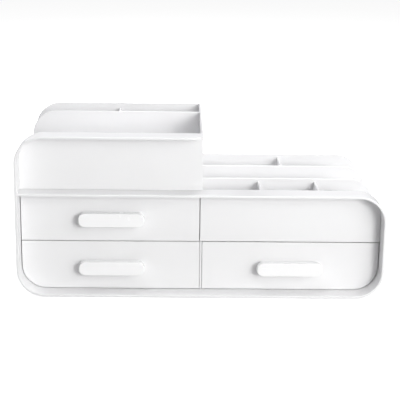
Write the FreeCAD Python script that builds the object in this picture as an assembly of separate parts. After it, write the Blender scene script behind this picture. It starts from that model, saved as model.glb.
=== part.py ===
import FreeCAD, Part
import math
import os

# Desk organizer with three drawers and two open-topped bins.
# Millimetres. X runs left to right, the front faces -Y, +Z is up.
# The origin is under the middle of the footprint, on the surface that the feet stand on.

# Overall sizes
width = 370.0
depth = 190.0
tall_height = 165.0         # top of the tall section above the shell's underside
low_height = 107.0          # top of the low section above the shell's underside
corner_radius = 28.0        # outer radius of the rounded corners, seen from the front
shell_wall = 2.5
side_top_drop = 3.0         # the side walls end this far below the start of the rounded corners

# Front recess and fixed fronts
front_recess = 20.0         # from the rim's front edge back to the drawer fronts
tall_recess = 21.0          # from the rim's front edge back to the tall bin's front panel
panel_thickness = 2.5
low_lip_overhang = 2.5      # how far the low top lip reaches back past the fixed front
lip_corner_radius = 12.0    # plan radius of the tall lip's free corner

# Inner walls
partition_thickness = 2.0
deck_thickness = 2.0
divider_thickness = 2.0
divider_gap = 0.3           # between a divider's rounded edge and the side wall
row_line = 53.5             # parting line between the two rows of fronts, above the underside
tall_row_place = 139.0      # divider places are measured from the rim's front edge
low_front_row_place = 74.5
low_back_row_place = 132.0
tall_cross_place = -89.5    # cross divider places are measured from the middle of the organizer
low_left_cross_place = 60.5
low_right_cross_place = 120.0
low_back_cross_place = 90.5
tall_cross_drop = 5.4       # the cross dividers end this far below the row dividers
low_cross_drop = 3.2

# Rear cover and its screws
rear_cover_thickness = 2.0
boss_radius = 3.5
boss_length = 10.0
boss_inset = 12.0           # from the outer faces to the bosses in the bottom corners
screw_radius = 1.4
screw_length = 9.0
screw_head_radius = 2.8
screw_head_height = 1.5
thread_gap = 0.05
screw_hole_gap = 0.2

# Drawers
drawer_side_gap = 0.75
drawer_floor_gap = 0.6
drawer_front_gap = 0.5      # half of the visible gap between the two rows of fronts
drawer_top_gap = 0.8
lower_front_center_gap = 0.35  # between a lower drawer's front and the partition's nose
drawer_wall = 1.8
drawer_front_thickness = 2.5
drawer_side_drop = 7.0      # the box's side walls end this far below the bay's roof
drawer_rear_gap = 1.0       # between the closed drawer and the screw bosses
inner_corner_radius = 3.0

# Drawer stops
stop_rib_setback = 29.4     # from the back of a drawer front to the rib that ends the drawer's travel
stop_rib_depth = 2.0
stop_rib_thickness = 3.0
stop_rib_width = 60.0
stop_tab_width = 40.0
stop_gap = 0.3

# Pulls
pull_width = 66.0
pull_height = 14.0
pull_corner_radius = 6.0
pull_bar_thickness = 8.0
pull_foot_length = 5.0
pull_foot_inset = 3.0
pull_offset = 1.6           # from the middle of the front, towards the centre partition
pull_drop = 0.4             # from the middle of the front, down
pull_edge_radius = 1.2
pull_screw_spacing = 40.0
pull_screw_length = 8.0
pull_screw_radius = 1.4
pull_screw_head_radius = 2.7
pull_screw_head_height = 1.8

# Feet
foot_radius = 7.0
foot_stand = 1.0            # how far a foot stands below the shell
foot_pocket = 0.6
foot_edge_radius = 0.4
foot_side_inset = 38.0
foot_end_inset = 16.0

# Places worked out from the sizes above
left = -width / 2
right = width / 2
front = -depth / 2
back = depth / 2
base = foot_stand
tall_top = base + tall_height
low_top = base + low_height
floor_top = base + shell_wall
shelf_bottom = low_top - shell_wall
inner_left = left + shell_wall
inner_right = right - shell_wall
inner_radius = corner_radius - shell_wall
left_wall_top = tall_top - corner_radius - side_top_drop
right_wall_top = low_top - corner_radius - side_top_drop
middle_left = -partition_thickness / 2
middle_right = partition_thickness / 2
cover_front = back - rear_cover_thickness
boss_front = cover_front - boss_length
front_plane = front + front_recess
panel_back = front_plane + panel_thickness
drawer_front_back = front_plane + drawer_front_thickness
tall_plane = front + tall_recess
tall_panel_back = tall_plane + panel_thickness
low_lip_back = panel_back + low_lip_overhang
parting = base + row_line
deck_bottom = parting - deck_thickness / 2
deck_top = parting + deck_thickness / 2
bin_floor_bottom = parting + drawer_front_gap
bin_floor_top = bin_floor_bottom + deck_thickness
drawer_back = boss_front - drawer_rear_gap
stop_rib_front = drawer_front_back + stop_rib_setback
stop_rib_back = stop_rib_front + stop_rib_thickness
drawer_travel = drawer_back - drawer_wall - stop_gap - stop_rib_back


def block(x0, x1, y0, y1, z0, z1):
    """Plain block between two corners."""
    return Part.makeBox(x1 - x0, y1 - y0, z1 - z0, FreeCAD.Vector(x0, y0, z0))


def outline(corners, y):
    """Closed wire in the plane at y. Each corner is (x, z, radius), and a radius of 0 stays sharp."""
    count = len(corners)
    edges = []
    ends = []
    for i, (x, z, radius) in enumerate(corners):
        here = FreeCAD.Vector(x, y, z)
        if radius == 0:
            ends.append((here, here))
            continue
        before = FreeCAD.Vector(corners[i - 1][0], y, corners[i - 1][1]) - here
        after = FreeCAD.Vector(corners[(i + 1) % count][0], y, corners[(i + 1) % count][1]) - here
        half_turn = before.getAngle(after) / 2
        before.normalize()
        after.normalize()
        reach = radius / math.tan(half_turn)
        middle = before + after
        middle.normalize()
        start = here + before * reach
        end = here + after * reach
        top = here + middle * (radius / math.sin(half_turn) - radius)
        ends.append((start, end))
        edges.append(Part.Arc(start, top, end).toShape())
    for i in range(count):
        start = ends[i][1]
        end = ends[(i + 1) % count][0]
        if start.distanceToPoint(end) > 0.001:
            edges.append(Part.LineSegment(start, end).toShape())
    return Part.Wire(Part.__sortEdges__(edges))


def slab(corners, y0, y1):
    """Plate or bar with the given outline, from y0 back to y1."""
    return Part.Face(outline(corners, y0)).extrude(FreeCAD.Vector(0, y1 - y0, 0))


def rod(x, z, y0, y1, radius):
    """Cylinder along Y."""
    return Part.makeCylinder(radius, y1 - y0, FreeCAD.Vector(x, y0, z), FreeCAD.Vector(0, 1, 0))


def taper(x, z, y0, y1, radius0, radius1):
    """Cone along Y, radius0 at y0 and radius1 at y1."""
    return Part.makeCone(radius0, radius1, y1 - y0, FreeCAD.Vector(x, y0, z), FreeCAD.Vector(0, 1, 0))


def fused(shapes):
    """One solid from pieces that touch or overlap."""
    return shapes[0].fuse(shapes[1:]).removeSplitter()


def cross_slot(x, z, y0, y1, radius):
    """Cross recess of a screw head."""
    arm = radius * 0.6
    blade = radius * 0.16
    upright = block(x - blade, x + blade, y0, y1, z - arm, z + arm)
    return upright.fuse(block(x - arm, x + arm, y0, y1, z - blade, z + blade))


def boss_places():
    """Centres of the six rear cover screws, (x, z)."""
    beside_partition = middle_left - boss_radius - 0.5
    below_shelf = shelf_bottom - boss_radius + 0.5
    on_left_wall = inner_left + boss_radius - 0.5
    on_right_wall = inner_right - boss_radius + 0.5
    return [
        (left + boss_inset, base + boss_inset),
        (beside_partition, floor_top + boss_radius - 0.5),
        (right - boss_inset, base + boss_inset),
        (on_left_wall, below_shelf),
        (beside_partition, below_shelf),
        (on_right_wall, deck_bottom - boss_radius - 1.5),
    ]


def foot_places():
    """Foot names and centres, (name, x, y)."""
    x = width / 2 - foot_side_inset
    y = depth / 2 - foot_end_inset
    return [
        ("foot_front_left", -x, -y),
        ("foot_front_right", x, -y),
        ("foot_rear_left", -x, y),
        ("foot_rear_right", x, y),
    ]


def foot_pad(x, y):
    """Silicone pad with its lower edge rounded."""
    pad = Part.makeCylinder(foot_radius, foot_stand + foot_pocket, FreeCAD.Vector(x, y, 0))
    rim = [edge for edge in pad.Edges if edge.BoundBox.ZMax < 0.01]
    return pad.makeFillet(foot_edge_radius, rim)


def stop_rib(x0, x1, roof):
    """Rib under a bay's roof that the drawer's tab meets when the drawer is fully out."""
    middle = (x0 + x1) / 2
    return block(middle - stop_rib_width / 2, middle + stop_rib_width / 2,
                 stop_rib_front, stop_rib_back, roof - stop_rib_depth, roof)


def housing_shell():
    """Outer band, front rim with its lips, shelf with a stop rib below it, screw bosses and foot pockets."""
    trough = slab([
        (left, left_wall_top, 0), (left, base, corner_radius), (right, base, corner_radius),
        (right, right_wall_top, 0), (inner_right, right_wall_top, 0), (inner_right, floor_top, inner_radius),
        (inner_left, floor_top, inner_radius), (inner_left, left_wall_top, 0),
    ], front, cover_front)
    tall_lip = slab([
        (left, left_wall_top, 0), (left, tall_top, corner_radius), (middle_right, tall_top, 0),
        (middle_right, tall_top - shell_wall, 0), (inner_left, tall_top - shell_wall, inner_radius),
        (inner_left, left_wall_top, 0),
    ], front, tall_panel_back)
    free_corner = block(middle_right - lip_corner_radius, middle_right + 1,
                        front - 1, front + lip_corner_radius, tall_top - shell_wall, tall_top)
    round_end = Part.makeCylinder(lip_corner_radius, shell_wall, FreeCAD.Vector(
        middle_right - lip_corner_radius, front + lip_corner_radius, tall_top - shell_wall))
    tall_lip = tall_lip.cut(free_corner.cut(round_end))
    low_lip = slab([
        (right, right_wall_top, 0), (right, low_top, corner_radius), (inner_left, low_top, 0),
        (inner_left, shelf_bottom, 0), (inner_right, shelf_bottom, inner_radius),
        (inner_right, right_wall_top, 0),
    ], front, low_lip_back)
    shelf = block(inner_left, middle_right, front, cover_front, shelf_bottom, low_top)
    bosses = [rod(x, z, boss_front, cover_front, boss_radius) for x, z in boss_places()]
    rib = stop_rib(inner_left, middle_left, shelf_bottom)
    shell = fused([trough, tall_lip, low_lip, shelf, rib] + bosses)
    for x, z in boss_places():
        shell = shell.cut(rod(x, z, boss_front - 1, cover_front + 1, screw_radius + thread_gap))
    for name, x, y in foot_places():
        shell = shell.cut(Part.makeCylinder(foot_radius, foot_pocket, FreeCAD.Vector(x, y, base)))
    return shell


def rear_cover():
    """L-shaped plate behind the shell, with countersunk screw holes."""
    plate = slab([
        (left, base, corner_radius), (right, base, corner_radius), (right, low_top, corner_radius),
        (middle_right, low_top, 0), (middle_right, tall_top, 0), (left, tall_top, corner_radius),
    ], cover_front, back)
    hole = screw_radius + screw_hole_gap
    for x, z in boss_places():
        plate = plate.cut(rod(x, z, cover_front - 1, back + 1, hole))
        sink = screw_head_radius + screw_hole_gap
        plate = plate.cut(taper(x, z, back - screw_head_height, back, hole, sink))
    return plate


def rear_cover_screws():
    """Six countersunk screws, heads flush with the cover."""
    screws = []
    for x, z in boss_places():
        shank = rod(x, z, back - screw_length, back - screw_head_height, screw_radius)
        head = taper(x, z, back - screw_head_height, back, screw_radius, screw_head_radius)
        screw = shank.fuse(head).removeSplitter()
        screws.append(screw.cut(cross_slot(x, z, back - screw_head_height / 2, back + 1, screw_head_radius)))
    return Part.makeCompound(screws)


def centre_partition():
    """Wall between the left and right bays.
    Below the parting line it comes forward between the drawer fronts."""
    wall = block(middle_left, middle_right, panel_back, cover_front, floor_top, shelf_bottom)
    nose = block(middle_left, middle_right, front_plane + drawer_front_gap, panel_back, floor_top, parting)
    return fused([wall, nose])


def left_deck():
    """Plate between the two left drawers."""
    deck_front = drawer_front_back + drawer_front_gap
    plate = block(inner_left, middle_left, deck_front, cover_front, deck_bottom, deck_top)
    return fused([plate, stop_rib(inner_left, middle_left, deck_bottom)])


def right_bin_floor():
    """Floor of the low bin and roof of the drawer bay below it."""
    plate = block(middle_right, inner_right, panel_back, cover_front, bin_floor_bottom, bin_floor_top)
    return fused([plate, stop_rib(middle_right, inner_right, bin_floor_bottom)])


def right_front_panel():
    """Fixed front of the low bin, in line with the drawer fronts."""
    return slab([
        (middle_left, bin_floor_bottom, 0), (inner_right, bin_floor_bottom, 0),
        (inner_right, shelf_bottom, inner_radius), (middle_left, shelf_bottom, 0),
    ], front_plane, panel_back)


def tall_front_panel():
    """Recessed front wall of the tall bin."""
    return slab([
        (inner_left, low_top, 0), (middle_right, low_top, 0), (middle_right, tall_top - shell_wall, 0),
        (inner_left, tall_top - shell_wall, inner_radius),
    ], tall_plane, tall_panel_back)


def row_divider(x0, x1, z0, z1, place, round_left):
    """Divider across a bin, with one rounded outer top corner."""
    radius = inner_radius - divider_gap
    left_radius = radius if round_left else 0
    right_radius = 0 if round_left else radius
    y0 = front + place - divider_thickness / 2
    return slab([(x0, z0, 0), (x1, z0, 0), (x1, z1, right_radius), (x0, z1, left_radius)],
                y0, y0 + divider_thickness)


def cross_divider(x, y0, y1, z0, z1):
    """Short divider from front to back."""
    return block(x - divider_thickness / 2, x + divider_thickness / 2, y0, y1, z0, z1)


def dividers():
    """All bin dividers by name."""
    half = divider_thickness / 2
    divider_left = inner_left + divider_gap
    divider_right = inner_right - divider_gap
    low = (bin_floor_top, low_top)
    tall = (low_top, tall_top)
    front_row = front + low_front_row_place
    back_row = front + low_back_row_place
    tall_row = front + tall_row_place
    low_cross = (bin_floor_top, low_top - low_cross_drop)
    tall_cross = (tall_row + half, cover_front, low_top, tall_top - tall_cross_drop)
    front_cross = (low_lip_back, front_row - half, *low_cross)
    back_cross = (back_row + half, cover_front, *low_cross)
    low_span = (middle_right, divider_right)
    return {
        "tall_row_divider": row_divider(divider_left, middle_left, *tall, tall_row_place, True),
        "tall_cross_divider": cross_divider(tall_cross_place, *tall_cross),
        "right_row_divider_front": row_divider(*low_span, *low, low_front_row_place, False),
        "right_row_divider_back": row_divider(*low_span, *low, low_back_row_place, False),
        "right_cross_divider_left": cross_divider(low_left_cross_place, *front_cross),
        "right_cross_divider_right": cross_divider(low_right_cross_place, *front_cross),
        "right_cross_divider_back": cross_divider(low_back_cross_place, *back_cross),
    }


def drawer(x0, x1, front_x0, front_x1, front_z0, front_z1, box_z0, roof, round_left, round_right,
           pull_x, pull_z):
    """One tray: a tall front, a box behind it and a stop tab on its rear wall.
    A bottom corner beside the shell's rounded corner follows it."""
    def tub(left_x, right_x, bottom, top, inset, plain_radius, y0, y1):
        """Straight-sided section with its two bottom corners rounded."""
        follow = inner_radius - drawer_side_gap - inset
        left_radius = follow if round_left else plain_radius
        right_radius = follow if round_right else plain_radius
        return slab([
            (left_x, top, 0), (left_x, bottom, left_radius),
            (right_x, bottom, right_radius), (right_x, top, 0),
        ], y0, y1)

    box_z1 = roof - drawer_side_drop
    inner_back = drawer_back - drawer_wall
    front_plate = tub(front_x0, front_x1, front_z0, front_z1, 0, 0, front_plane, drawer_front_back)
    box = tub(x0, x1, box_z0, box_z1, 0, 0, drawer_front_back, drawer_back)
    hollow = tub(x0 + drawer_wall, x1 - drawer_wall, box_z0 + drawer_wall, box_z1 + 1, drawer_wall,
                 inner_corner_radius, drawer_front_back, inner_back)
    middle = (x0 + x1) / 2
    tab = block(middle - stop_tab_width / 2, middle + stop_tab_width / 2, inner_back, drawer_back,
                box_z1 - 1, roof - drawer_top_gap)
    tray = fused([front_plate, box, tab]).cut(hollow)
    for screw_x in pull_screw_places(pull_x):
        hole = screw_hole_gap + pull_screw_radius
        tray = tray.cut(rod(screw_x, pull_z, front_plane - 1, drawer_front_back + 1, hole))
    return tray


def pull_screw_places(x):
    """Both screws of a pull whose middle is at x."""
    return [x - pull_screw_spacing / 2, x + pull_screw_spacing / 2]


def rounded_bar(x, z, bar_width, bar_height, radius, y0, y1):
    """Bar with rounded ends, centred on x and z."""
    x0, x1 = x - bar_width / 2, x + bar_width / 2
    z0, z1 = z - bar_height / 2, z + bar_height / 2
    return slab([(x0, z0, radius), (x1, z0, radius), (x1, z1, radius), (x0, z1, radius)], y0, y1)


def pull(x, z):
    """Bar with a narrower foot behind it and two pilot holes for its screws."""
    bar_back = front_plane - pull_foot_length
    bar_front = bar_back - pull_bar_thickness
    bar = rounded_bar(x, z, pull_width, pull_height, pull_corner_radius, bar_front, bar_back)
    face_edges = [edge for edge in bar.Edges if edge.BoundBox.YMax < bar_front + 0.01]
    bar = bar.makeFillet(pull_edge_radius, face_edges)
    foot = rounded_bar(x, z, pull_width - 2 * pull_foot_inset, pull_height - 2 * pull_foot_inset,
                       pull_corner_radius - pull_foot_inset, bar_back, front_plane)
    handle = fused([bar, foot])
    pilot_end = drawer_front_back - pull_screw_length - 1
    for screw_x in pull_screw_places(x):
        handle = handle.cut(rod(screw_x, z, pilot_end, front_plane + 1, pull_screw_radius + thread_gap))
    return handle


def pull_screws(x, z):
    """Two pan-head screws put in from inside the drawer."""
    screws = []
    for screw_x in pull_screw_places(x):
        shank = rod(screw_x, z, drawer_front_back - pull_screw_length, drawer_front_back, pull_screw_radius)
        head_back = drawer_front_back + pull_screw_head_height
        head = rod(screw_x, z, drawer_front_back, head_back, pull_screw_head_radius)
        screw = shank.fuse(head).removeSplitter()
        slot_front = head_back - pull_screw_head_height / 2
        screws.append(screw.cut(cross_slot(screw_x, z, slot_front, head_back + 1, pull_screw_head_radius)))
    return Part.makeCompound(screws)


def drawer_set(place, x0, x1, front_x0, front_x1, front_z0, front_z1, box_z0, roof, round_left, round_right):
    """A drawer with its pull and pull screws, by name."""
    middle = (x0 + x1) / 2
    x = middle + pull_offset if middle < 0 else middle - pull_offset
    z = (front_z0 + front_z1) / 2 - pull_drop
    return {
        "drawer_" + place: drawer(x0, x1, front_x0, front_x1, front_z0, front_z1, box_z0, roof,
                                  round_left, round_right, x, z),
        "pull_" + place: pull(x, z),
        "pull_screws_" + place: pull_screws(x, z),
    }


def drawer_sets():
    """The three drawers."""
    left_x = (inner_left + drawer_side_gap, middle_left - drawer_side_gap)
    right_x = (middle_right + drawer_side_gap, inner_right - drawer_side_gap)
    lower_left_x = (left_x[0], middle_left - lower_front_center_gap)
    lower_right_x = (middle_right + lower_front_center_gap, right_x[1])
    upper_front = (parting + drawer_front_gap, shelf_bottom - drawer_top_gap)
    lower_front = (floor_top + drawer_floor_gap, parting - drawer_front_gap)
    lower_box = floor_top + drawer_floor_gap
    upper_box = deck_top + drawer_floor_gap
    sets = drawer_set("upper_left", *left_x, *left_x, *upper_front, upper_box, shelf_bottom, False, False)
    sets.update(drawer_set("lower_left", *left_x, *lower_left_x, *lower_front, lower_box, deck_bottom,
                           True, False))
    sets.update(drawer_set("lower_right", *right_x, *lower_right_x, *lower_front, lower_box,
                           bin_floor_bottom, False, True))
    return sets


def all_pieces():
    """Every piece of the organizer by name."""
    pieces = {
        "housing_shell": housing_shell(),
        "rear_cover": rear_cover(),
        "rear_cover_screws": rear_cover_screws(),
        "centre_partition": centre_partition(),
        "left_deck": left_deck(),
        "right_bin_floor": right_bin_floor(),
        "right_front_panel": right_front_panel(),
        "tall_front_panel": tall_front_panel(),
        "tall_side_wall": block(middle_left, middle_right, tall_panel_back, cover_front, low_top, tall_top),
    }
    pieces.update(dividers())
    for name, x, y in foot_places():
        pieces[name] = foot_pad(x, y)
    pieces.update(drawer_sets())
    return pieces


os.makedirs("parts", exist_ok=True)
for name, shape in all_pieces().items():
    shape.exportStep("parts/" + name + ".step")
    print(name, "solids", len(shape.Solids), "volume", round(shape.Volume), "valid", shape.isValid())
print("drawer travel", round(drawer_travel, 3))
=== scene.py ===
"""Desk organizer with three drawers and two open bins: its moulded pieces, finishes and studio.

Every piece is built in metres, in the frame of the CAD model, with the front facing -Y.
"""

import math

import bmesh
import bpy
from bpy.props import FloatProperty, FloatVectorProperty, IntProperty, PointerProperty
from mathutils import Matrix, Vector


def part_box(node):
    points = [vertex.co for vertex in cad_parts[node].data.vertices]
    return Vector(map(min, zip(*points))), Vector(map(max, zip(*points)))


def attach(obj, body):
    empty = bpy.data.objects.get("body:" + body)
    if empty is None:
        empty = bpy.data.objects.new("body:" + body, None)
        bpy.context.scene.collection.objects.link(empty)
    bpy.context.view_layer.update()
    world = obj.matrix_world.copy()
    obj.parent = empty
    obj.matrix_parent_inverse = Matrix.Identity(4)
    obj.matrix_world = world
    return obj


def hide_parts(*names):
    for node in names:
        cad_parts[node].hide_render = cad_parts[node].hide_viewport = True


bl_info = {
    "name": "Desk Organizer",
    "version": (1, 0, 0),
    "blender": (4, 5, 0),
    "location": "3D View > Sidebar > Organizer",
    "description": "Builds a moulded desk organizer around its packed frame",
    "category": "Object",
}

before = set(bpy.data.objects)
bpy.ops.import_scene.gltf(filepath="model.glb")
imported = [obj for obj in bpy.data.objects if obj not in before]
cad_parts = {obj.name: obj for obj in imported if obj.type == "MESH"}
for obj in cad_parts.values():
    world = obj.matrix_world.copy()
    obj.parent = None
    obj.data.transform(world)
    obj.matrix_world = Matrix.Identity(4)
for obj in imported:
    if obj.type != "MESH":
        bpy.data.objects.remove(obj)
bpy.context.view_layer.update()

PLACES = ("upper_left", "lower_left", "lower_right")
FEET = ("foot_front_left", "foot_front_right", "foot_rear_left", "foot_rear_right")
SHARP = math.radians(35)
HOUSING = "housing"
X, Y, Z = Vector((1, 0, 0)), Vector((0, 1, 0)), Vector((0, 0, 1))
WHITE = (1.0, 1.0, 1.0, 1.0)
WELD = 1e-6  # points closer than this are one point
NEAR = 1e-5  # slack when edges are picked by their place
OVERLAP = 0.0002  # how far a joined or cutting shape runs past the face it meets
REACH = 0.001  # how far a long cutting shape runs past both ends
BAY_CLEARANCE = 0.0006  # under a drawer
ROOF_CLEARANCE = 0.0008  # over a drawer's stop tab


# Values that a user would change

def length(name, description, default):
    """Size in metres, shown in the scene's units."""
    return FloatProperty(name=name, description=description, default=default, min=0.0, precision=5,
                         unit="LENGTH", subtype="DISTANCE")


def factor(name, description, default):
    """Plain number from 0 to 1."""
    return FloatProperty(name=name, description=description, default=default, min=0.0, max=1.0,
                         subtype="FACTOR")


def colour(name, description, default):
    """Linear colour."""
    return FloatVectorProperty(name=name, description=description, default=default, size=3, min=0.0,
                               max=1.0, subtype="COLOR")


def angle(name, description, default):
    """Angle, given in degrees."""
    return FloatProperty(name=name, description=description, default=math.radians(default),
                         unit="ROTATION", subtype="ANGLE")


class OrganizerSizes(bpy.types.PropertyGroup):
    """Radii and walls of the moulded pieces."""

    corner_radius: length("Corner Radius", "Outer radius of the housing's rounded corners", 0.028)
    wall: length("Housing Wall", "Thickness of the housing's walls", 0.0025)
    side_top_drop: length("Side Top Drop", "How far the side walls end below the rounded corners", 0.003)
    lip_corner: length("Lip Corner", "Plan radius of the tall lip's free corner", 0.012)
    rim_edge: length("Rim Edge", "Radius of the housing's rim edges", 0.0006)
    plate_edge: length("Plate Edge", "Edge radius of fronts and walls", 0.0004)
    divider_edge: length("Divider Edge", "Edge radius of the dividers", 0.0009)
    divider_inset: length("Divider Inset", "From the outer face of the housing to a divider's end", 0.0028)
    drawer_gap: length("Drawer Gap", "Gap between a drawer and the housing's side wall", 0.00075)
    drawer_wall: length("Drawer Wall", "Thickness of a drawer's walls and floor", 0.0018)
    drawer_front: length("Drawer Front", "Thickness of a drawer's front", 0.0025)
    drawer_floor_radius: length("Drawer Floor Radius", "Outer radius of a drawer's plain corners", 0.0048)
    drawer_edge: length("Drawer Edge", "Edge radius of a drawer's walls", 0.00045)
    tab_width: length("Stop Tab", "Width of the stop tab on a drawer's rear wall", 0.040)
    tab_root: length("Tab Root", "How far a stop tab reaches down into the rear wall", 0.004)
    tab_corner: length("Tab Corner", "Corner radius of a stop tab", 0.003)
    tab_edge: length("Tab Edge", "Edge radius of a stop tab", 0.0003)
    side_drop: length("Side Drop", "How far a drawer's side walls end below its stop tab", 0.0062)
    rib_setback: length("Rib Setback", "From the back of a drawer front to the rib that stops it", 0.0294)
    rib_depth: length("Rib Depth", "Depth of a stop rib", 0.002)
    rib_thickness: length("Rib Thickness", "Thickness of a stop rib, front to back", 0.003)
    rib_width: length("Rib Width", "Width of a stop rib", 0.060)
    boss_length: length("Boss Length", "Length of a screw boss", 0.010)
    boss_radius: length("Boss Radius", "Outer radius of a screw boss", 0.0035)
    boss_hole: length("Boss Hole", "Radius of a boss's pilot hole", 0.00145)
    cover_hole: length("Cover Hole", "Radius of the rear cover's screw holes", 0.0016)
    cover_hole_depth: length("Cover Hole Depth", "Length of the plain part of a cover hole", 0.0018)
    sink_radius: length("Countersink Radius", "Radius of a countersink at the cover's back", 0.0032)
    sink_depth: length("Countersink Depth", "Depth of a countersink in the cover", 0.0017)
    deck_thickness: length("Deck Thickness", "Thickness of the deck and of the bin floor", 0.002)
    pull_corner: length("Pull Corner", "Corner radius of a pull, from the front", 0.0064)
    pull_edge: length("Pull Edge", "Radius round the face of a pull", 0.0007)
    pull_back_edge: length("Pull Back Edge", "Radius round the back of a pull's bar", 0.0005)
    pull_foot: length("Pull Foot", "Length of the foot behind a pull's bar", 0.005)
    pull_foot_inset: length("Pull Foot Inset", "How much smaller the foot is, all round", 0.003)
    sole_edge: length("Sole Edge", "Edge radius of a foot", 0.0004)
    sole_groove: length("Sole Groove", "Depth of the ring in a foot's sole", 0.0003)
    corner_steps: IntProperty(name="Corner Steps", default=28, min=4,
                              description="Facets in a quarter turn of the large radii")


class OrganizerFinish(bpy.types.PropertyGroup):
    """Colours and surface of the materials."""

    housing: colour("Housing", "Colour of the housing, walls and dividers", (0.858, 0.857, 0.864))
    drawer: colour("Drawers", "Colour of the drawers and fixed fronts", (0.858, 0.857, 0.864))
    pull: colour("Pulls", "Colour of the pulls", (0.950, 0.950, 0.955))
    silicone: colour("Feet", "Colour of the silicone feet", (0.62, 0.62, 0.61))
    steel: colour("Screws", "Colour of the zinc-plated screws", (0.60, 0.61, 0.63))
    floor: colour("Floor", "Colour of the studio floor", (0.55, 0.55, 0.55))
    satin: factor("Satin Roughness", "Roughness of the moulded skin", 0.42)
    gloss: factor("Pull Roughness", "Roughness of the smoother pulls", 0.26)


class OrganizerStudio(bpy.types.PropertyGroup):
    """Camera and lights."""

    camera_place: FloatVectorProperty(name="Camera Place", description="Where the camera stands",
                                      default=(-0.0222, -1.1803, 0.3957), size=3, unit="LENGTH",
                                      subtype="TRANSLATION")
    camera_pitch: angle("Camera Pitch", "How far the camera looks down", 15.06)
    camera_yaw: angle("Camera Yaw", "How far the camera turns to the right", 1.075)
    camera_roll: angle("Camera Roll", "How far the camera leans", 0.745)
    lens: FloatProperty(name="Lens", description="Focal length on a 36 mm sensor", default=102.33,
                        min=1.0, unit="CAMERA")
    set_middle: FloatVectorProperty(name="Set Middle", description="Point that the lights face",
                                    default=(0.0, -0.09, 0.07), size=3, unit="LENGTH",
                                    subtype="TRANSLATION")
    light_distance: length("Light Distance", "From the middle of the set to each softbox", 2.0)
    softbox: length("Softbox", "Side of each square softbox", 0.5)
    brightness: FloatProperty(name="Brightness", description="Multiplies every light's power", default=1.0,
                              min=0.0)
    floor_glow: factor("Floor Glow", "How brightly the floor is seen, over its own shading", 0.92)
    dome: factor("Dome", "Brightness of the room around the set", 0.0)


# Mesh work

def block(lo, hi):
    """Closed block between two corners."""
    lo, hi = Vector(lo), Vector(hi)
    bm = bmesh.new()
    bmesh.ops.create_cube(bm, size=1.0)
    bmesh.ops.scale(bm, vec=hi - lo, verts=bm.verts)
    bmesh.ops.translate(bm, vec=(lo + hi) / 2, verts=bm.verts)
    return bm


def cylinder(centre, axis, radius, depth, steps=32, far_radius=None):
    """Closed cylinder or cone from centre along axis."""
    bm = bmesh.new()
    far = radius if far_radius is None else far_radius
    bmesh.ops.create_cone(bm, cap_ends=True, segments=steps, radius1=radius, radius2=far, depth=depth)
    turn = Z.rotation_difference(axis).to_matrix().to_4x4()
    place = Matrix.Translation(Vector(centre) + axis * depth / 2)
    bmesh.ops.transform(bm, matrix=place @ turn, verts=bm.verts)
    return bm


def along(bm, axis, wanted):
    """Edges that run along axis and whose middle passes the wanted test."""
    found = []
    for edge in bm.edges:
        start, end = (v.co for v in edge.verts)
        if abs((end - start).normalized().dot(axis)) > 0.999 and wanted((start + end) / 2):
            found.append(edge)
    return found


def round_edges(bm, edges, radius, steps):
    """Rounds edges with a true radius."""
    if edges and radius > 0:
        bmesh.ops.bevel(bm, geom=edges, offset=radius, offset_type="OFFSET", segments=steps, profile=0.5,
                        affect="EDGES", material=-1, clamp_overlap=True)


def sharp_edges(bm, wanted=lambda middle: True):
    """Edges where two faces meet at a clear angle."""
    found = []
    for edge in bm.edges:
        if len(edge.link_faces) == 2 and edge.calc_face_angle() > SHARP:
            if wanted((edge.verts[0].co + edge.verts[1].co) / 2):
                found.append(edge)
    return found


def soften(bm, radius, steps=2, wanted=lambda middle: True):
    """Rounds every clear edge that passes the test, as a mould's edges are."""
    round_edges(bm, sharp_edges(bm, wanted), radius, steps)


def faces_towards(bm, axis):
    """Faces whose outside looks along axis."""
    return [face for face in bm.faces if face.normal.dot(axis) > 0.99]


def as_mesh(bm, name):
    """Mesh data from a finished bmesh, facing outwards."""
    bmesh.ops.remove_doubles(bm, verts=bm.verts, dist=1e-7)
    bmesh.ops.recalc_face_normals(bm, faces=bm.faces)
    mesh = bpy.data.meshes.new(name)
    bm.to_mesh(mesh)
    bm.free()
    return mesh


def combined(name, base, adds=(), cuts=()):
    """Mesh of a base with other closed shapes joined on or cut away."""
    scene = bpy.context.scene
    obj = bpy.data.objects.new(name + "_work", as_mesh(base, name + "_work"))
    scene.collection.objects.link(obj)
    tools = []
    for operation, shapes in (("UNION", adds), ("DIFFERENCE", cuts)):
        for shape in shapes:
            tool = bpy.data.objects.new(name + "_tool", as_mesh(shape, name + "_tool"))
            scene.collection.objects.link(tool)
            modifier = obj.modifiers.new(operation.lower(), "BOOLEAN")
            modifier.operation = operation
            modifier.solver = "EXACT"
            modifier.object = tool
            tools.append(tool)
    bpy.context.view_layer.update()
    made = bpy.data.meshes.new_from_object(obj.evaluated_get(bpy.context.evaluated_depsgraph_get()))
    made.name = name
    for used in tools + [obj]:
        mesh = used.data
        bpy.data.objects.remove(used)
        bpy.data.meshes.remove(mesh)
    return made


def add_piece(name, mesh, body, material, slot, *nodes):
    """Shows a finished mesh as a piece on a body, in place of the frame's plain nodes."""
    if isinstance(mesh, bmesh.types.BMesh):
        mesh = as_mesh(mesh, name)
    mesh.materials.clear()
    mesh.materials.append(material)
    mesh.shade_smooth()
    mesh.set_sharp_from_angle(angle=SHARP)
    obj = bpy.data.objects.new(name, mesh)
    bpy.context.scene.collection.objects.link(obj)
    even = obj.modifiers.new("even_shading", "WEIGHTED_NORMAL")
    even.keep_sharp = True
    even.weight = 80
    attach(obj, body)
    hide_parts(*nodes)
    return obj


# Shader node groups, shared by the materials

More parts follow.
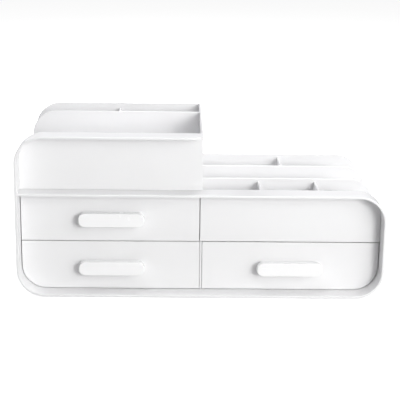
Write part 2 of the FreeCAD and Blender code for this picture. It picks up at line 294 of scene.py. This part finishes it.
class Sheet:
    """Small helper that adds and links nodes on one node tree."""

    def __init__(self, tree):
        self.tree = tree

    def node(self, kind, **values):
        made = self.tree.nodes.new(kind)
        for key, value in values.items():
            setattr(made, key, value)
        return made

    def link(self, output, target):
        self.tree.links.new(output, target)

    def maths(self, operation, first, second):
        """Two-number math node. Each input is a socket or a number."""
        made = self.node("ShaderNodeMath", operation=operation)
        for socket, value in zip(made.inputs, (first, second)):
            if isinstance(value, bpy.types.NodeSocket):
                self.link(value, socket)
            else:
                socket.default_value = value
        return made.outputs[0]

    def noise(self, vector, scale, detail=2.0, stretch=None):
        """Noise between 0 and 1 at so many features a metre."""
        if stretch:
            mapping = self.node("ShaderNodeMapping")
            mapping.inputs["Scale"].default_value = stretch
            self.link(vector, mapping.inputs["Vector"])
            vector = mapping.outputs["Vector"]
        made = self.node("ShaderNodeTexNoise")
        made.inputs["Detail"].default_value = detail
        if isinstance(scale, bpy.types.NodeSocket):
            self.link(scale, made.inputs["Scale"])
        else:
            made.inputs["Scale"].default_value = scale
        self.link(vector, made.inputs["Vector"])
        return made.outputs["Fac"]


def new_group(name, inputs, outputs):
    """Node group with named float or colour sockets."""
    tree = bpy.data.node_groups.new(name, "ShaderNodeTree")
    for socket_name, kind, default in inputs:
        socket = tree.interface.new_socket(socket_name, in_out="INPUT", socket_type=kind)
        if default is not None:
            socket.default_value = default
    for socket_name, kind in outputs:
        tree.interface.new_socket(socket_name, in_out="OUTPUT", socket_type=kind)
    sheet = Sheet(tree)
    return sheet, sheet.node("NodeGroupInput").outputs, sheet.node("NodeGroupOutput").inputs


def moulded_skin():
    """Fine spark-eroded grain with a soft drift of shade, as white mouldings have."""
    sheet, given, result = new_group("moulded_skin", [
        ("Vector", "NodeSocketVector", None),
        ("Color", "NodeSocketColor", (0.9, 0.9, 0.9, 1.0)),
        ("Drift", "NodeSocketFloat", 0.02),
        ("Roughness", "NodeSocketFloat", 0.4),
        ("Roughness Drift", "NodeSocketFloat", 0.1),
        ("Grain Scale", "NodeSocketFloat", 2400.0),
        ("Peel Scale", "NodeSocketFloat", 420.0),
        ("Peel", "NodeSocketFloat", 0.3),
    ], [("Color", "NodeSocketColor"), ("Roughness", "NodeSocketFloat"), ("Height", "NodeSocketFloat")])
    cloud = sheet.noise(given["Vector"], 9.0, 3.0)
    shade = sheet.maths("MULTIPLY", sheet.maths("SUBTRACT", cloud, 0.5), given["Drift"])
    shaded = sheet.node("ShaderNodeHueSaturation")
    sheet.link(sheet.maths("ADD", shade, 1.0), shaded.inputs["Value"])
    sheet.link(given["Color"], shaded.inputs["Color"])
    sheet.link(shaded.outputs["Color"], result["Color"])
    grain = sheet.noise(given["Vector"], given["Grain Scale"], 2.0)
    peel = sheet.noise(given["Vector"], given["Peel Scale"], 1.0)
    uneven = sheet.maths("SUBTRACT", sheet.noise(given["Vector"], 34.0, 4.0), 0.5)
    wander = sheet.maths("MULTIPLY", uneven, given["Roughness Drift"])
    sheet.link(sheet.maths("ADD", given["Roughness"], wander), result["Roughness"])
    height = sheet.maths("ADD", grain, sheet.maths("MULTIPLY", peel, given["Peel"]))
    sheet.link(height, result["Height"])
    return sheet.tree


def fine_scuffs():
    """Faint hairline scuffs from use, as a mask."""
    sheet, given, result = new_group("fine_scuffs", [
        ("Vector", "NodeSocketVector", None),
        ("Scale", "NodeSocketFloat", 60.0),
        ("Amount", "NodeSocketFloat", 0.1),
    ], [("Mask", "NodeSocketFloat")])
    lines = sheet.noise(given["Vector"], given["Scale"], 3.0, stretch=(1.0, 14.0, 9.0))
    patches = sheet.noise(given["Vector"], 16.0, 2.0)
    thin = sheet.node("ShaderNodeMapRange")
    thin.inputs["From Min"].default_value = 0.62
    thin.inputs["From Max"].default_value = 0.72
    sheet.link(lines, thin.inputs["Value"])
    where = sheet.node("ShaderNodeMapRange")
    where.inputs["From Min"].default_value = 0.5
    where.inputs["From Max"].default_value = 0.7
    sheet.link(patches, where.inputs["Value"])
    mask = sheet.maths("MULTIPLY", thin.outputs["Result"], where.outputs["Result"])
    sheet.link(sheet.maths("MULTIPLY", mask, given["Amount"]), result["Mask"])
    return sheet.tree


def shared_group(name, maker):
    """The named node group, built once."""
    return bpy.data.node_groups.get(name) or maker()


def plastic(name, base, rough, drift, peel, bump, scuffs, specular):
    """Moulded plastic with grain, drift and scuffs."""
    made = bpy.data.materials.get(name)
    if made:
        return made
    made = bpy.data.materials.new(name)
    made.use_nodes = True
    sheet = Sheet(made.node_tree)
    shader = made.node_tree.nodes["Principled BSDF"]
    place = sheet.node("ShaderNodeTexCoord").outputs["Object"]
    skin = sheet.node("ShaderNodeGroup", node_tree=shared_group("moulded_skin", moulded_skin))
    marks = sheet.node("ShaderNodeGroup", node_tree=shared_group("fine_scuffs", fine_scuffs))
    sheet.link(place, skin.inputs["Vector"])
    sheet.link(place, marks.inputs["Vector"])
    skin.inputs["Color"].default_value = (*base, 1.0)
    skin.inputs["Roughness"].default_value = rough
    skin.inputs["Drift"].default_value = drift
    skin.inputs["Peel"].default_value = peel
    marks.inputs["Amount"].default_value = scuffs
    sheet.link(skin.outputs["Color"], shader.inputs["Base Color"])
    rough = sheet.maths("ADD", skin.outputs["Roughness"], marks.outputs["Mask"])
    sheet.link(rough, shader.inputs["Roughness"])
    relief = sheet.node("ShaderNodeBump")
    relief.inputs["Strength"].default_value = bump
    relief.inputs["Distance"].default_value = 0.00012
    sheet.link(skin.outputs["Height"], relief.inputs["Height"])
    sheet.link(relief.outputs["Normal"], shader.inputs["Normal"])
    shader.inputs["IOR"].default_value = 1.49
    shader.inputs["Specular IOR Level"].default_value = specular
    return made


def housing_plastic():
    finish = bpy.context.scene.organizer_finish
    return plastic("housing_plastic", finish.housing, finish.satin, 0.02, 0.35, 0.30, 0.10, 0.42)


def drawer_plastic():
    finish = bpy.context.scene.organizer_finish
    return plastic("drawer_plastic", finish.drawer, finish.satin, 0.02, 0.35, 0.30, 0.10, 0.42)


def pull_plastic():
    finish = bpy.context.scene.organizer_finish
    return plastic("pull_plastic", finish.pull, finish.gloss, 0.01, 0.6, 0.12, 0.10, 0.42)


def foot_silicone():
    finish = bpy.context.scene.organizer_finish
    return plastic("foot_silicone", finish.silicone, 0.62, 0.06, 0.2, 0.4, 0.05, 0.3)


def screw_steel():
    """Zinc-plated steel with fine turned marks."""
    made = bpy.data.materials.get("turned_steel")
    if made:
        return made
    finish = bpy.context.scene.organizer_finish
    made = bpy.data.materials.new("turned_steel")
    made.use_nodes = True
    sheet = Sheet(made.node_tree)
    shader = made.node_tree.nodes["Principled BSDF"]
    place = sheet.node("ShaderNodeTexCoord").outputs["Object"]
    skin = sheet.node("ShaderNodeGroup", node_tree=shared_group("moulded_skin", moulded_skin))
    sheet.link(place, skin.inputs["Vector"])
    skin.inputs["Color"].default_value = (*finish.steel, 1.0)
    skin.inputs["Drift"].default_value = 0.25
    skin.inputs["Roughness"].default_value = 0.34
    skin.inputs["Roughness Drift"].default_value = 0.25
    skin.inputs["Grain Scale"].default_value = 5200.0
    sheet.link(skin.outputs["Color"], shader.inputs["Base Color"])
    sheet.link(skin.outputs["Roughness"], shader.inputs["Roughness"])
    relief = sheet.node("ShaderNodeBump")
    relief.inputs["Strength"].default_value = 0.25
    relief.inputs["Distance"].default_value = 0.00005
    sheet.link(skin.outputs["Height"], relief.inputs["Height"])
    sheet.link(relief.outputs["Normal"], shader.inputs["Normal"])
    shader.inputs["Metallic"].default_value = 1.0
    return made


# The housing

class Sweep:
    """Carries the wall's cross-section along the housing's outline, leaving a strip of faces."""

    def __init__(self, bm, outer, inner):
        self.bm = bm
        self.edge = bm.edges.new((bm.verts.new(outer), bm.verts.new(inner)))
        self.faces = []

    def straight(self, x=0.0, z=0.0):
        made = bmesh.ops.extrude_edge_only(self.bm, edges=[self.edge])["geom"]
        verts = [item for item in made if isinstance(item, bmesh.types.BMVert)]
        bmesh.ops.translate(self.bm, vec=(x, 0.0, z), verts=verts)
        self.edge = next(item for item in made if isinstance(item, bmesh.types.BMEdge)
                         and all(v in verts for v in item.verts))
        self.faces += [item for item in made if isinstance(item, bmesh.types.BMFace)]
        return self

    def turn(self, centre, quarter, steps):
        before = set(self.bm.faces)
        made = bmesh.ops.spin(self.bm, geom=[self.edge, *self.edge.verts], cent=centre, axis=Y,
                              angle=quarter * math.pi / 2, steps=steps, use_merge=False)["geom_last"]
        self.edge = next(item for item in made if isinstance(item, bmesh.types.BMEdge))
        self.faces += [face for face in self.bm.faces if face not in before]
        return self


def move_back(bm, faces, distance):
    """Extrudes faces towards +Y and returns the moved faces."""
    made = bmesh.ops.extrude_face_region(bm, geom=faces)["geom"]
    verts = [item for item in made if isinstance(item, bmesh.types.BMVert)]
    bmesh.ops.translate(bm, vec=(0.0, distance, 0.0), verts=verts)
    return [item for item in made if isinstance(item, bmesh.types.BMFace)]


def housing_mesh():
    """Outer band with its front rim, two top lips and the shelf under the tall bin."""
    sizes = bpy.context.scene.organizer_sizes
    lo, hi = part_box("housing_shell")
    radius, wall, steps = sizes.corner_radius, sizes.wall, sizes.corner_steps
    tall_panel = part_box("tall_front_panel")
    side_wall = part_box("tall_side_wall")
    low_top = tall_panel[0].z
    middle = side_wall[1].x
    left_wall_top = hi.z - radius - sizes.side_top_drop
    right_wall_top = low_top - radius - sizes.side_top_drop
    front = lo.y

    bm = bmesh.new()
    marked = bm.faces.layers.int.new("depth")
    start = Vector((lo.x, front, left_wall_top))
    trough = Sweep(bm, start, start + X * wall)
    trough.straight(z=low_top - left_wall_top).straight(z=-wall).straight(z=lo.z + radius - low_top + wall)
    trough.turn((lo.x + radius, front, lo.z + radius), -1, steps)
    trough.straight(x=hi.x - lo.x - 2 * radius)
    trough.turn((hi.x - radius, front, lo.z + radius), -1, steps)
    trough.straight(z=right_wall_top - lo.z - radius)
    low_lip = Sweep(bm, (hi.x, front, right_wall_top), (hi.x - wall, front, right_wall_top))
    low_lip.straight(z=sizes.side_top_drop)
    low_lip.turn((hi.x - radius, front, low_top - radius), -1, steps)
    low_lip.straight(x=middle - hi.x + radius)
    shelf = Sweep(bm, (middle, front, low_top), (middle, front, low_top - wall))
    shelf.straight(x=lo.x + wall - middle)
    tall_lip = Sweep(bm, start, start + X * wall)
    tall_lip.straight(z=sizes.side_top_drop)
    tall_lip.turn((lo.x + radius, front, hi.z - radius), 1, steps)
    tall_lip.straight(x=middle - lo.x - radius)
    for depth, strip in enumerate((trough.faces + shelf.faces, low_lip.faces, tall_lip.faces)):
        for face in strip:
            face[marked] = depth
    bmesh.ops.remove_doubles(bm, verts=bm.verts, dist=WELD)

    tall_back = tall_panel[1].y
    low_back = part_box("right_cross_divider_left")[0].y
    moved = move_back(bm, list(bm.faces), tall_back - front)
    moved = move_back(bm, [face for face in moved if face[marked] < 2], low_back - tall_back)
    move_back(bm, [face for face in moved if face[marked] < 1], hi.y - low_back)
    bmesh.ops.recalc_face_normals(bm, faces=bm.faces)
    free_end = along(bm, Z, lambda at: at.x > middle - NEAR and at.y < front + NEAR and at.z > hi.z - wall)
    round_edges(bm, free_end, sizes.lip_corner, steps // 2)
    soften(bm, sizes.rim_edge, 3)
    return bm


def housing_extras():
    """Screw bosses and the stop rib that are moulded on, and the pockets for the feet."""
    sizes = bpy.context.scene.organizer_sizes
    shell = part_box("housing_shell")[0]
    partition_lo, partition_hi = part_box("centre_partition")
    bosses, holes, pockets = [], [], []
    for centre in screw_middles("rear_cover_screws"):
        at = Vector((centre.x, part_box("rear_cover")[0].y - sizes.boss_length, centre.z))
        bosses.append(cylinder(at, Y, sizes.boss_radius, sizes.boss_length, 28))
        holes.append(cylinder(at - Y * REACH, Y, sizes.boss_hole, sizes.boss_length + 2 * REACH, 20))
    for name in FEET:
        lo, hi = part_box(name)
        at = Vector(((lo.x + hi.x) / 2, (lo.y + hi.y) / 2, shell.z - REACH))
        pockets.append(cylinder(at, Z, (hi.x - lo.x) / 2 + OVERLAP, hi.z - shell.z + REACH, 48))
    rib = stop_rib(shell.x + sizes.wall, partition_lo.x, partition_hi.z)
    return bosses + [rib], holes + pockets


def stop_rib(left, right, roof):
    """Rib under a bay's roof that ends a drawer's travel."""
    sizes = bpy.context.scene.organizer_sizes
    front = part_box("drawer_upper_left")[0].y + sizes.drawer_front + sizes.rib_setback
    middle, half = (left + right) / 2, sizes.rib_width / 2
    rib = block((middle - half, front, roof - sizes.rib_depth),
                (middle + half, front + sizes.rib_thickness, roof + OVERLAP))
    soften(rib, sizes.plate_edge, 2, lambda at: at.z < roof - sizes.rib_depth / 2)
    return rib


def screw_middles(node):
    """Middle of each separate screw in a group node."""
    bm = bmesh.new()
    bm.from_mesh(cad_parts[node].data)
    bmesh.ops.remove_doubles(bm, verts=bm.verts, dist=WELD)
    left = set(bm.verts)
    centres = []
    while left:
        island, edge = set(), [left.pop()]
        while edge:
            vert = edge.pop()
            island.add(vert)
            for link in vert.link_edges:
                other = link.other_vert(vert)
                if other in left:
                    left.remove(other)
                    edge.append(other)
        lows = Vector(min(v.co[i] for v in island) for i in range(3))
        highs = Vector(max(v.co[i] for v in island) for i in range(3))
        centres.append((lows + highs) / 2)
    bm.free()
    return centres


class ORGANIZER_OT_housing(bpy.types.Operator):
    """Build the one-piece housing with its rim, lips and shelf"""

    bl_idname = "organizer.housing"
    bl_label = "Housing"
    bl_options = {"REGISTER", "UNDO"}

    def execute(self, context):
        adds, cuts = housing_extras()
        mesh = combined("housing", housing_mesh(), adds, cuts)
        add_piece("housing", mesh, HOUSING, housing_plastic(), "white_housing", "housing_shell")
        return {"FINISHED"}


# Fronts, walls and dividers

def plate(node, edge, side=0, radius=0.0):
    """Flat piece filling a node's box, with its top corner on one side (-1 or 1 in X) well rounded."""
    lo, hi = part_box(node)
    bm = block(lo, hi)
    middle = (lo + hi) / 2
    found = along(bm, Y, lambda at: (at.x - middle.x) * side > 0 and at.z > middle.z)
    round_edges(bm, found, radius, bpy.context.scene.organizer_sizes.corner_steps)
    soften(bm, edge, 3)
    return bm


class ORGANIZER_OT_fronts(bpy.types.Operator):
    """Build the two fixed fronts that close the bins"""

    bl_idname = "organizer.fronts"
    bl_label = "Fixed Fronts"
    bl_options = {"REGISTER", "UNDO"}

    def execute(self, context):
        sizes = context.scene.organizer_sizes
        inner = sizes.corner_radius - sizes.wall
        for name, side in (("right_front_panel", 1), ("tall_front_panel", -1)):
            bm = plate(name, sizes.plate_edge, side, inner)
            add_piece(name.replace("panel", "face"), bm, HOUSING, drawer_plastic(), "white_housing", name)
        return {"FINISHED"}


class ORGANIZER_OT_dividers(bpy.types.Operator):
    """Build the side wall of the tall bin and every divider"""

    bl_idname = "organizer.dividers"
    bl_label = "Walls and Dividers"
    bl_options = {"REGISTER", "UNDO"}

    def execute(self, context):
        sizes = context.scene.organizer_sizes
        outer = sizes.corner_radius - sizes.divider_inset
        rows = (("tall_row_divider", -1), ("right_row_divider_front", 1), ("right_row_divider_back", 1))
        for name, side in rows:
            bm = plate(name, sizes.divider_edge, side, outer)
            add_piece(name + "_wall", bm, HOUSING, housing_plastic(), "white_housing", name)
        plain = ("tall_side_wall", "tall_cross_divider", "right_cross_divider_left",
                 "right_cross_divider_right", "right_cross_divider_back")
        for name in plain:
            bm = plate(name, sizes.divider_edge)
            add_piece(name + "_wall", bm, HOUSING, housing_plastic(), "white_housing", name)
        return {"FINISHED"}


def partition_mesh():
    """Wall between the bays, whose lower half comes forward between the drawer fronts."""
    sizes = bpy.context.scene.organizer_sizes
    lo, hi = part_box("centre_partition")
    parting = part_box("left_deck")[1].z - sizes.deck_thickness / 2
    wall_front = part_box("right_bin_floor")[0].y
    wall = block((lo.x, wall_front, lo.z), hi)
    nose = block(lo, (hi.x, wall_front + 2 * REACH, parting))
    soften(nose, sizes.plate_edge, 2, lambda at: at.y < wall_front)
    return combined("partition", wall, [nose])


def floor_mesh(node, left, right):
    """Plate across a bay with the stop rib under it."""
    sizes = bpy.context.scene.organizer_sizes
    lo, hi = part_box(node)
    bottom = hi.z - sizes.deck_thickness
    slab = block((lo.x, lo.y, bottom), hi)
    soften(slab, sizes.plate_edge, 2, lambda at: at.y < lo.y + NEAR)
    return combined(node, slab, [stop_rib(left, right, bottom)])


def cover_mesh():
    """Plate behind the housing, tall on the left, with six countersunk holes."""
    sizes = bpy.context.scene.organizer_sizes
    lo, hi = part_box("rear_cover")
    low_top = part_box("tall_front_panel")[0].z
    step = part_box("tall_side_wall")[1].x
    bm = block(lo, (hi.x, hi.y, low_top))
    bmesh.ops.bisect_plane(bm, geom=[*bm.verts, *bm.edges, *bm.faces], plane_co=X * step, plane_no=X)
    tall = [face for face in faces_towards(bm, Z) if face.calc_center_median().x < step]
    made = bmesh.ops.extrude_discrete_faces(bm, faces=tall)["faces"]
    bmesh.ops.translate(bm, vec=Z * (hi.z - low_top), verts=list({v for face in made for v in face.verts}))
    bmesh.ops.remove_doubles(bm, verts=bm.verts, dist=WELD)
    bmesh.ops.recalc_face_normals(bm, faces=bm.faces)
    bmesh.ops.dissolve_limit(bm, angle_limit=math.radians(1), verts=bm.verts, edges=bm.edges)
    outer = along(bm, Y, lambda at: abs(at.x - step) > sizes.corner_radius)
    round_edges(bm, outer, sizes.corner_radius, sizes.corner_steps)
    soften(bm, sizes.plate_edge, 2)
    cuts = []
    for centre in screw_middles("rear_cover_screws"):
        back = Vector((centre.x, hi.y + OVERLAP, centre.z))
        front = Vector((centre.x, lo.y - OVERLAP, centre.z))
        cuts.append(cylinder(back, -Y, sizes.sink_radius, sizes.sink_depth, 32, sizes.cover_hole))
        cuts.append(cylinder(front, Y, sizes.cover_hole, sizes.cover_hole_depth, 32))
    return combined("rear_cover", bm, (), cuts)


class ORGANIZER_OT_inner_frame(bpy.types.Operator):
    """Build the partition, the deck, the bin floor and the rear cover"""

    bl_idname = "organizer.inner_frame"
    bl_label = "Inner Frame and Rear Cover"
    bl_options = {"REGISTER", "UNDO"}

    def execute(self, context):
        wall = context.scene.organizer_sizes.wall
        shell_lo, shell_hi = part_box("housing_shell")
        middle_lo, middle_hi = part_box("centre_partition")
        pieces = (
            ("partition_wall", "centre_partition", partition_mesh()),
            ("deck_plate", "left_deck", floor_mesh("left_deck", shell_lo.x + wall, middle_lo.x)),
            ("bin_floor_plate", "right_bin_floor",
             floor_mesh("right_bin_floor", middle_hi.x, shell_hi.x - wall)),
            ("rear_cover_plate", "rear_cover", cover_mesh()),
        )
        for name, node, mesh in pieces:
            add_piece(name, mesh, HOUSING, housing_plastic(), "white_housing", node)
        return {"FINISHED"}


# Drawers

def drawer_mesh(place):
    """Tray with a tall front, rounded inside corners, a rolled top edge and a stop tab."""
    sizes = bpy.context.scene.organizer_sizes
    lo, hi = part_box("drawer_" + place)
    side = {"lower_left": -1, "lower_right": 1}.get(place, 0)
    follow = sizes.corner_radius - sizes.wall - sizes.drawer_gap
    front_back = lo.y + sizes.drawer_front
    middle = (lo + hi) / 2
    steps = sizes.corner_steps
    box_top = tab_top(place) - sizes.side_drop
    box_bottom = lo.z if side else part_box("left_deck")[1].z + BAY_CLEARANCE

    front = block(lo, (hi.x, front_back, hi.z))
    if side:
        found = along(front, Y, lambda at: (at.x - middle.x) * side > 0 and at.z < middle.z)
        round_edges(front, found, follow, steps)
    soften(front, sizes.plate_edge, 3)

    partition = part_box("centre_partition")
    left_side, right_side = lo.x, partition[0].x - sizes.drawer_gap
    if middle.x > 0:
        left_side, right_side = partition[1].x + sizes.drawer_gap, hi.x
    tub = block((left_side, front_back - sizes.drawer_wall, box_bottom), (right_side, hi.y, box_top))
    bmesh.ops.delete(tub, geom=faces_towards(tub, Z), context="FACES_ONLY")
    if side:
        big = along(tub, Y, lambda at: at.z < middle.z and (at.x - middle.x) * side > 0)
        round_edges(tub, big, follow, steps)
    soften(tub, sizes.drawer_floor_radius, 6)
    bmesh.ops.recalc_face_normals(tub, faces=tub.faces)
    bmesh.ops.solidify(tub, geom=list(tub.faces), thickness=sizes.drawer_wall)
    bmesh.ops.recalc_face_normals(tub, faces=tub.faces)
    soften(tub, sizes.drawer_edge, 2)
    half = sizes.tab_width / 2
    across = (left_side + right_side) / 2
    tab = block((across - half, hi.y - sizes.drawer_wall, box_top - sizes.tab_root),
                (across + half, hi.y, tab_top(place)))
    round_edges(tab, along(tab, Y, lambda at: at.z > box_top), sizes.tab_corner, 6)
    soften(tab, sizes.tab_edge, 2)
    return combined("drawer", front, [tub, tab])


def tab_top(place):
    """Top of a drawer's stop tab, just under the roof of its bay."""
    thickness = bpy.context.scene.organizer_sizes.deck_thickness
    roof = {"upper_left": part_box("centre_partition")[1].z,
            "lower_left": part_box("left_deck")[1].z - thickness,
            "lower_right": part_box("right_bin_floor")[1].z - thickness}[place]
    return roof - ROOF_CLEARANCE


class ORGANIZER_OT_drawers(bpy.types.Operator):
    """Build the three sliding drawers"""

    bl_idname = "organizer.drawers"
    bl_label = "Drawers"
    bl_options = {"REGISTER", "UNDO"}

    def execute(self, context):
        for place in PLACES:
            name = "drawer_" + place
            add_piece("tray_" + place, drawer_mesh(place), name + "_body", drawer_plastic(),
                      "white_drawer", name)
        return {"FINISHED"}


# Pulls, screws and feet

def pull_mesh(node):
    """Bar with rounded ends and a softly rounded face, on a narrower foot."""
    sizes = bpy.context.scene.organizer_sizes
    lo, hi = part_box(node)
    bar_back = hi.y - sizes.pull_foot
    bm = block(lo, (hi.x, bar_back, hi.z))
    round_edges(bm, along(bm, Y, lambda at: True), sizes.pull_corner, 12)
    foot = faces_towards(bm, Y)
    bmesh.ops.inset_region(bm, faces=foot, thickness=sizes.pull_foot_inset, use_even_offset=True)
    made = bmesh.ops.extrude_face_region(bm, geom=foot)["geom"]
    verts = [item for item in made if isinstance(item, bmesh.types.BMVert)]
    bmesh.ops.translate(bm, vec=Y * sizes.pull_foot, verts=verts)
    bmesh.ops.recalc_face_normals(bm, faces=bm.faces)
    soften(bm, sizes.pull_edge, 5, lambda at: at.y < lo.y + NEAR)
    soften(bm, sizes.pull_back_edge, 2, lambda at: abs(at.y - bar_back) < NEAR)
    return bm


class ORGANIZER_OT_pulls(bpy.types.Operator):
    """Build the three bar pulls"""

    bl_idname = "organizer.pulls"
    bl_label = "Pulls"
    bl_options = {"REGISTER", "UNDO"}

    def execute(self, context):
        for place in PLACES:
            node = "pull_" + place
            add_piece("bar_" + node, pull_mesh(node), "drawer_" + place + "_body", pull_plastic(),
                      "white_pull", node)
        return {"FINISHED"}


class ORGANIZER_OT_screws(bpy.types.Operator):
    """Finish the rear cover screws and the pull screws"""

    bl_idname = "organizer.screws"
    bl_label = "Screws"
    bl_options = {"REGISTER", "UNDO"}

    def execute(self, context):
        for name in ["rear_cover_screws"] + ["pull_screws_" + place for place in PLACES]:
            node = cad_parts[name]
            node.data.materials.clear()
            node.data.materials.append(screw_steel())
        return {"FINISHED"}


def foot_mesh(node):
    """Round silicone pad with a rolled edge and a shallow ring in its sole."""
    sizes = bpy.context.scene.organizer_sizes
    lo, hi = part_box(node)
    middle = (lo + hi) / 2
    radius = (hi.x - lo.x) / 2
    bm = cylinder((middle.x, middle.y, lo.z), Z, radius, hi.z - lo.z, 48)
    sole = faces_towards(bm, -Z)
    bmesh.ops.inset_region(bm, faces=sole, thickness=radius * 0.3)
    bmesh.ops.inset_region(bm, faces=sole, thickness=radius * 0.12, depth=-sizes.sole_groove)
    soften(bm, sizes.sole_edge, 3,
           lambda at: at.z < lo.z + NEAR and (at - middle).xy.length > radius * 0.95)
    return bm


class ORGANIZER_OT_feet(bpy.types.Operator):
    """Build the four silicone feet"""

    bl_idname = "organizer.feet"
    bl_label = "Feet"
    bl_options = {"REGISTER", "UNDO"}

    def execute(self, context):
        for name in FEET:
            add_piece(name.replace("foot", "pad"), foot_mesh(name), HOUSING, foot_silicone(),
                      "silicone", name)
        return {"FINISHED"}


# The studio

WARM, COOL = (1.0, 1.0, 0.992), (0.985, 0.985, 1.0)

# Name, degrees to the right of the front, degrees above the table, watts, tint
SOFTBOXES = (
    ("key", 24, 15, 18.4, WARM),
    ("key_high", 28, 30, 4.4, WARM),
    ("key_side", 48, 30, 3.0, WARM),
    ("key_outer", 56, 15, 3.8, WARM),
    ("key_ground", 40, 5, 3.4, WARM),
    ("front_high", 20, 48, 2.4, WARM),
    ("overhead", 0, 90, 18.0, COOL),
    ("top_left", -40, 68, 5.1, COOL),
    ("back_left", -140, 30, 16.6, COOL),
    ("back_right", 152, 46, 9.6, COOL),
)


def soft_light(name, azimuth, elevation, watts, tint):
    """Square softbox that faces the middle of the set."""
    studio = bpy.context.scene.organizer_studio
    around, up = math.radians(azimuth), math.radians(elevation)
    away = Vector((math.sin(around) * math.cos(up), -math.cos(around) * math.cos(up), math.sin(up)))
    data = bpy.data.lights.new(name, "AREA")
    data.shape = "SQUARE"
    data.size = studio.softbox
    data.energy = watts
    data.color = tint
    lamp = bpy.data.objects.new(name, data)
    lamp.location = Vector(studio.set_middle) + away * studio.light_distance
    lamp.rotation_euler = away.to_track_quat("Z", "Y").to_euler()
    bpy.context.scene.collection.objects.link(lamp)


def room(strength):
    """World: an even dome, seen as plain white where the floor ends."""
    world = bpy.data.worlds.new("room")
    world.use_nodes = True
    sheet = Sheet(world.node_tree)
    back = world.node_tree.nodes["Background"]
    seen = sheet.node("ShaderNodeBackground")
    back.inputs["Color"].default_value = WHITE
    back.inputs["Strength"].default_value = strength
    seen.inputs["Color"].default_value = WHITE
    seen.inputs["Strength"].default_value = 1.0
    mix = sheet.node("ShaderNodeMixShader")
    sheet.link(sheet.node("ShaderNodeLightPath").outputs["Is Camera Ray"], mix.inputs["Fac"])
    sheet.link(back.outputs[0], mix.inputs[1])
    sheet.link(seen.outputs[0], mix.inputs[2])
    sheet.link(mix.outputs[0], world.node_tree.nodes["World Output"].inputs["Surface"])
    bpy.context.scene.world = world


def floor_material(base, glow):
    """Pale floor that is seen as plain white."""
    made = bpy.data.materials.new("studio_floor")
    made.use_nodes = True
    sheet = Sheet(made.node_tree)
    shader = made.node_tree.nodes["Principled BSDF"]
    shader.inputs["Base Color"].default_value = (*base, 1.0)
    shader.inputs["Roughness"].default_value = 0.8
    shader.inputs["Specular IOR Level"].default_value = 0.1
    shader.inputs["Emission Color"].default_value = WHITE
    seen = sheet.maths("MULTIPLY", sheet.node("ShaderNodeLightPath").outputs["Is Camera Ray"], glow)
    sheet.link(seen, shader.inputs["Emission Strength"])
    return made


class ORGANIZER_OT_stage(bpy.types.Operator):
    """Set up the floor, the lights and the camera"""

    bl_idname = "organizer.stage"
    bl_label = "Stage"
    bl_options = {"REGISTER", "UNDO"}

    def execute(self, context):
        studio = context.scene.organizer_studio
        bm = bmesh.new()
        bmesh.ops.create_grid(bm, x_segments=4, y_segments=4, size=8.0)
        mesh = bpy.data.meshes.new("floor")
        bm.to_mesh(mesh)
        bm.free()
        mesh.materials.append(floor_material(context.scene.organizer_finish.floor, studio.floor_glow))
        floor = bpy.data.objects.new("floor", mesh)
        context.scene.collection.objects.link(floor)

        for name, azimuth, elevation, watts, tint in SOFTBOXES:
            soft_light(name, azimuth, elevation, watts * studio.brightness, tint)
        room(studio.dome)

        data = bpy.data.cameras.new("camera")
        data.lens = studio.lens
        data.sensor_width = 36.0
        data.clip_start, data.clip_end = 0.02, 40.0
        camera = bpy.data.objects.new("camera", data)
        turn = Matrix.Rotation(-studio.camera_yaw, 4, "Z") @ Matrix.Rotation(
            math.pi / 2 - studio.camera_pitch, 4, "X") @ Matrix.Rotation(studio.camera_roll, 4, "Z")
        camera.matrix_world = Matrix.Translation(studio.camera_place) @ turn
        context.scene.collection.objects.link(camera)
        context.scene.camera = camera
        context.scene.view_settings.view_transform = "Standard"
        return {"FINISHED"}


class VIEW3D_PT_organizer(bpy.types.Panel):
    """Sidebar panel with the sizes, finishes and build steps"""

    bl_label = "Desk Organizer"
    bl_space_type = "VIEW_3D"
    bl_region_type = "UI"
    bl_category = "Organizer"

    def draw(self, context):
        layout = self.layout
        for owner in (context.scene.organizer_sizes, context.scene.organizer_finish,
                      context.scene.organizer_studio):
            column = layout.column()
            for key in owner.__annotations__:
                column.prop(owner, key)
        for step in STEPS:
            layout.operator(step.bl_idname)


GROUPS = (OrganizerSizes, OrganizerFinish, OrganizerStudio)
STEPS = (
    ORGANIZER_OT_housing,
    ORGANIZER_OT_fronts,
    ORGANIZER_OT_dividers,
    ORGANIZER_OT_inner_frame,
    ORGANIZER_OT_drawers,
    ORGANIZER_OT_pulls,
    ORGANIZER_OT_screws,
    ORGANIZER_OT_feet,
    ORGANIZER_OT_stage,
)


def register():
    for item in (*GROUPS, *STEPS, VIEW3D_PT_organizer):
        bpy.utils.register_class(item)
    bpy.types.Scene.organizer_sizes = PointerProperty(type=OrganizerSizes)
    bpy.types.Scene.organizer_finish = PointerProperty(type=OrganizerFinish)
    bpy.types.Scene.organizer_studio = PointerProperty(type=OrganizerStudio)


def unregister():
    del bpy.types.Scene.organizer_studio
    del bpy.types.Scene.organizer_finish
    del bpy.types.Scene.organizer_sizes
    for item in reversed((*GROUPS, *STEPS, VIEW3D_PT_organizer)):
        bpy.utils.unregister_class(item)


def main():
    register()
    for step in STEPS:
        group, action = step.bl_idname.split(".")
        getattr(getattr(bpy.ops, group), action)()
    bpy.context.view_layer.update()


if __name__ == "__main__":
    main()
